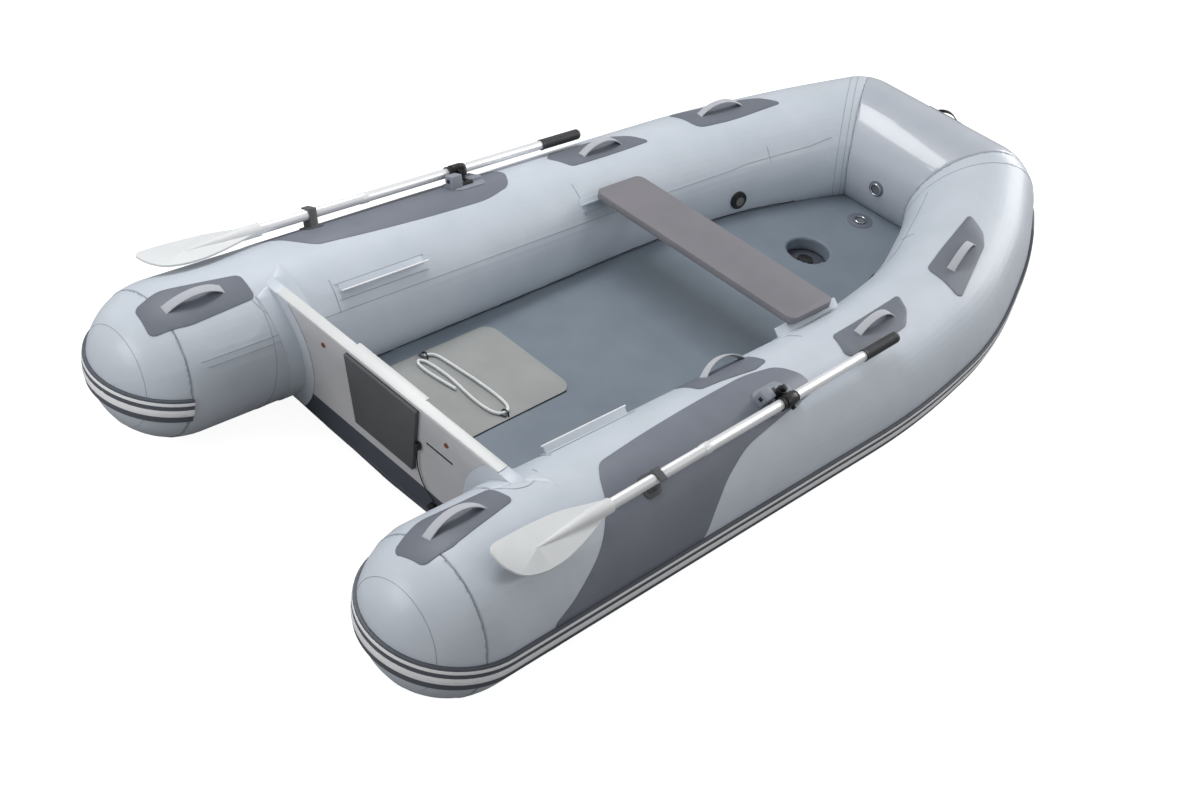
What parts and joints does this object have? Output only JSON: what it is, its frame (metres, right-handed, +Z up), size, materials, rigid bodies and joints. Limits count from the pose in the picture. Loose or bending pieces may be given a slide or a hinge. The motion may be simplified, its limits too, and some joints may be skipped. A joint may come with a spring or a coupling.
{
  "type": "inflatable boat with air floor, transom and oars",
  "caption": "Open inflatable tender with a blunt bow, wooden transom for a small outboard, bench seat and pivoting oars held along its side tubes.",
  "frame": {"origin": "centre of the bounding box, at the level of the tubes' lowest line", "axes": "+X to the bow, +Y to port, +Z up"},
  "size_m": [3.1208, 1.5614, 0.5936],
  "materials": {
    "tube_fabric": "light grey coated fabric, satin",
    "bow_fabric": "light grey coated fabric, satin",
    "strake_rubber": "dark grey rubber, satin",
    "stripe_rubber": "pale grey rubber, satin",
    "patch_fabric": "dark grey coated fabric, satin",
    "webbing": "light grey webbing, matt",
    "board_paint": "light grey painted plywood, satin",
    "cap_plastic": "white plastic, satin",
    "pad_rubber": "dark grey moulded rubber, matt",
    "bottom_fabric": "dark grey coated fabric, satin",
    "stud_metal": "brown bronze, satin",
    "black_plastic": "black plastic, satin",
    "black_cord": "black braided cord, matt",
    "floor_fabric": "grey coated fabric, satin",
    "seat_paint": "grey painted plywood, satin",
    "mat_fabric": "light grey mat, matt",
    "strap_fabric": "off-white strap, matt",
    "steel": "stainless steel, polished",
    "shaft_alloy": "bright anodised aluminium, satin",
    "blade_plastic": "off-white plastic, satin"
  },
  "bodies": {
    "hull": {"tube_port": "tube_fabric", "tube_starboard": "tube_fabric", "stern_cone_port": "tube_fabric", "stern_cone_starboard": "tube_fabric", "tube_bow": "bow_fabric", "rub_strake": "strake_rubber", "strake_stripes": "stripe_rubber", "side_panel_port": "patch_fabric", "side_panel_starboard": "patch_fabric", "handle_patches_port": "patch_fabric", "handle_patches_starboard": "patch_fabric", "handle_stern_port": "webbing", "handle_side_port": "webbing", "handle_bow_port": "webbing", "handle_stern_starboard": "webbing", "handle_inner_starboard": "webbing", "handle_side_starboard": "webbing", "handle_bow_starboard": "webbing", "transom": "board_paint", "transom_cap": "cap_plastic", "motor_pad_outer": "pad_rubber", "motor_plate_inner": "board_paint", "transom_collars_port": "tube_fabric", "transom_collars_starboard": "tube_fabric", "bottom_flap": "bottom_fabric", "transom_studs": "stud_metal", "lanyard_cleat": "black_plastic", "drain_plug": "black_plastic", "drain_lanyard": "black_cord", "air_floor": "floor_fabric", "hull_bottom": "bottom_fabric", "keel_valve": "black_plastic", "seat_board": "seat_paint", "seat_rails": "tube_fabric", "spare_rails": "tube_fabric", "floor_mat": "mat_fabric", "strap_eyes": "black_cord", "tie_down_strap": "strap_fabric", "air_valves": "black_plastic", "floor_ring_pad": "patch_fabric", "lashing_rings": "steel", "bow_ring_pad": "patch_fabric", "tow_pad": "patch_fabric", "tow_handle": "black_plastic", "rowlock_base_port": "patch_fabric", "rowlock_post_port": "black_plastic", "oar_clip_port": "pad_rubber", "rowlock_base_starboard": "patch_fabric", "rowlock_post_starboard": "black_plastic", "oar_clip_starboard": "pad_rubber"},
    "oar_port": {"oar_shaft_port": "shaft_alloy", "oar_grip_port": "black_plastic", "oar_blade_port": "blade_plastic", "rowlock_swivel_port": "black_plastic"},
    "oar_starboard": {"oar_shaft_starboard": "shaft_alloy", "oar_grip_starboard": "black_plastic", "oar_blade_starboard": "blade_plastic", "rowlock_swivel_starboard": "black_plastic"}
  },
  "joints": [
    {"name": "oar_port_swing", "type": "hinge", "parent": "hull", "child": "oar_port", "pos_m": [-0.26576, 0.63407, 0.45211], "axis": [0.0008, -0.3584, -0.9336], "range_deg": [0, 90]},
    {"name": "oar_starboard_swing", "type": "hinge", "parent": "hull", "child": "oar_starboard", "pos_m": [-0.26576, -0.63407, 0.45211], "axis": [-0.0008, -0.3584, 0.9336], "range_deg": [0, 90]}
  ]
}
